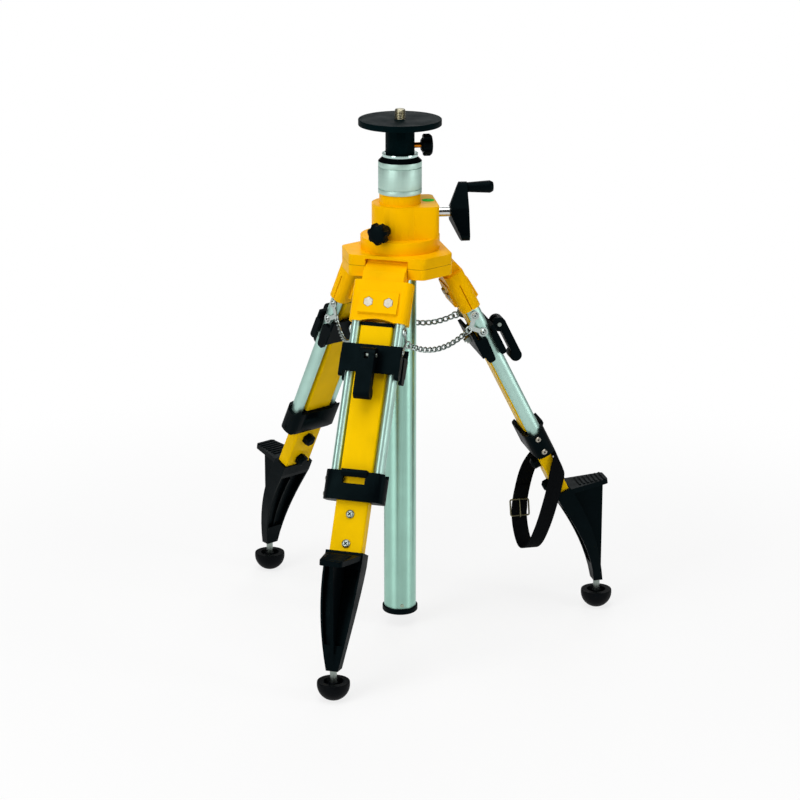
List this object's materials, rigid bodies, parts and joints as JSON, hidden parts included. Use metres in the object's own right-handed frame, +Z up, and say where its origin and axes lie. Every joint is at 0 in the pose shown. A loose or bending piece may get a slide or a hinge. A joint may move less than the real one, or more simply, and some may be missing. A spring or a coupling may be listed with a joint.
{
  "type": "elevating tripod",
  "caption": "Elevating tripod with a crank-driven centre column, folding telescopic legs with lever clamps, rubber ball feet and a round screw-top platform for levelling instruments.",
  "frame": {"origin": "on the floor under the axis of the centre column", "axes": "+Z up the column, +X along the crank shaft towards the crank arm, +Y to the back"},
  "size_m": [0.5304, 0.5783, 0.7843],
  "materials": {
    "yellow_paint": "yellow satin powder coat on cast aluminium",
    "yellow_paint_tube": "smooth yellow coat on drawn aluminium",
    "satin_aluminium": "satin anodised",
    "steel": "turned",
    "zinc_steel": "zinc plated",
    "bronze": "sintered",
    "brass": "turned",
    "black_aluminium": "black anodised",
    "black_metal": "matt black coat",
    "black_plastic": "fine moulded grain",
    "rubber": "matt",
    "vial": "clear dome over green fluid",
    "webbing": "woven webbing"
  },
  "bodies": {
    "head": {"top_plate": "yellow_paint", "bottom_plate": "yellow_paint", "lower_bush": "black_plastic", "head_bolts": "black_metal", "hinge_pins": "steel", "gear_housing": "yellow_paint", "level_vial": "vial", "guide_collar": "satin_aluminium", "wiper_ring": "black_plastic", "crank_bushes": "bronze", "chains": "zinc_steel"},
    "column": {"column_tube": "satin_aluminium", "column_rack": "steel", "column_plug": "satin_aluminium", "column_cap": "black_plastic"},
    "crank": {"crank_shaft": "steel", "crank_arm": "black_plastic"},
    "crank_grip": {"crank_grip": "black_plastic"},
    "platform": {"platform_plate": "black_aluminium", "platform_hub": "black_aluminium", "mount_stud": "brass"},
    "platform_knob": {"platform_knob": "black_plastic", "platform_knob_screw": "brass"},
    "lock_knob": {"lock_knob": "black_plastic", "lock_knob_screw": "brass"},
    "leg_1": {"leg_1_bracket": "yellow_paint", "leg_1_outer_tubes": "satin_aluminium", "leg_1_lower_collar": "black_plastic", "leg_1_outer_fasteners": "zinc_steel", "leg_1_chain_eyes": "zinc_steel"},
    "inner_leg_1": {"leg_1_inner_leg": "yellow_paint_tube", "leg_1_clamp_plates": "black_plastic", "leg_1_inner_fasteners": "zinc_steel", "leg_1_foot": "black_plastic", "leg_1_ball_foot": "rubber", "strap": "webbing", "strap_buckle": "zinc_steel"},
    "lever_1": {"leg_1_clamp_lever": "black_plastic"},
    "leg_2": {"leg_2_bracket": "yellow_paint", "leg_2_outer_tubes": "satin_aluminium", "leg_2_lower_collar": "black_plastic", "leg_2_outer_fasteners": "zinc_steel", "leg_2_chain_eyes": "zinc_steel"},
    "inner_leg_2": {"leg_2_inner_leg": "yellow_paint_tube", "leg_2_clamp_plates": "black_plastic", "leg_2_inner_fasteners": "zinc_steel", "leg_2_foot": "black_plastic", "leg_2_ball_foot": "rubber"},
    "lever_2": {"leg_2_clamp_lever": "black_plastic"},
    "leg_3": {"leg_3_bracket": "yellow_paint", "leg_3_outer_tubes": "satin_aluminium", "leg_3_lower_collar": "black_plastic", "leg_3_outer_fasteners": "zinc_steel", "leg_3_chain_eyes": "zinc_steel"},
    "inner_leg_3": {"leg_3_inner_leg": "yellow_paint_tube", "leg_3_clamp_plates": "black_plastic", "leg_3_inner_fasteners": "zinc_steel", "leg_3_foot": "black_plastic", "leg_3_ball_foot": "rubber"},
    "lever_3": {"leg_3_clamp_lever": "black_plastic"}
  },
  "joints": [
    {"name": "column_lift", "type": "slide", "parent": "head", "child": "column", "axis": [0, 0, 1], "range_m": [0, 0.4]},
    {"name": "crank_turn", "type": "hinge", "parent": "head", "child": "crank", "pos_m": [0, 0.0305, 0.625], "axis": [1, 0, 0], "range_deg": [-2190, 0]},
    {"name": "grip_spin", "type": "hinge", "parent": "crank", "child": "crank_grip", "pos_m": [0.12, 0.0455, 0.65717], "axis": [1, 0, 0], "continuous": true},
    {"name": "platform_swivel", "type": "hinge", "parent": "column", "child": "platform", "pos_m": [0, 0, 0.74], "axis": [0, 0, 1], "continuous": true},
    {"name": "platform_knob_turn", "type": "hinge", "parent": "platform", "child": "platform_knob", "pos_m": [0.035, 0, 0.7313], "axis": [1, 0, 0], "range_deg": [0, 360]},
    {"name": "lock_knob_turn", "type": "hinge", "parent": "head", "child": "lock_knob", "pos_m": [-0.03442, -0.04915, 0.615], "axis": [-0.5736, -0.8192, 0], "range_deg": [0, 360]},
    {"name": "leg_1_fold", "type": "hinge", "parent": "head", "child": "leg_1", "pos_m": [0.04981, 0.00436, 0.5665], "axis": [-0.0872, 0.9962, 0], "range_deg": [0, 26.5], "deforming": ["chains", "strap", "strap_buckle"]},
    {"name": "inner_leg_1_slide", "type": "slide", "parent": "leg_1", "child": "inner_leg_1", "axis": [0.4445, 0.0389, -0.8949], "range_m": [0, 0.105]},
    {"name": "lever_1_open", "type": "hinge", "parent": "inner_leg_1", "child": "lever_1", "pos_m": [0.14645, 0.01281, 0.45955], "axis": [0.0872, -0.9962, 0], "range_deg": [0, 90]},
    {"name": "leg_2_fold", "type": "hinge", "parent": "head", "child": "leg_2", "pos_m": [-0.02868, 0.04096, 0.5665], "axis": [-0.8192, -0.5736, 0], "range_deg": [0, 26.5], "deforming": ["chains"]},
    {"name": "inner_leg_2_slide", "type": "slide", "parent": "leg_2", "child": "inner_leg_2", "axis": [-0.2559, 0.3655, -0.8949], "range_m": [0, 0.105]},
    {"name": "lever_2_open", "type": "hinge", "parent": "inner_leg_2", "child": "lever_2", "pos_m": [-0.08432, 0.12043, 0.45955], "axis": [0.8192, 0.5736, 0], "range_deg": [0, 90]},
    {"name": "leg_3_fold", "type": "hinge", "parent": "head", "child": "leg_3", "pos_m": [-0.02113, -0.04532, 0.5665], "axis": [0.9063, -0.4226, 0], "range_deg": [0, 26.5], "deforming": ["chains"]},
    {"name": "inner_leg_3_slide", "type": "slide", "parent": "leg_3", "child": "inner_leg_3", "axis": [-0.1886, -0.4044, -0.8949], "range_m": [0, 0.105]},
    {"name": "lever_3_open", "type": "hinge", "parent": "inner_leg_3", "child": "lever_3", "pos_m": [-0.06213, -0.13324, 0.45955], "axis": [-0.9063, 0.4226, 0], "range_deg": [0, 90]}
  ],
  "couplings": [
    {"joint": "crank_turn", "follows": "column_lift", "rad_per_m": -95.238}
  ]
}
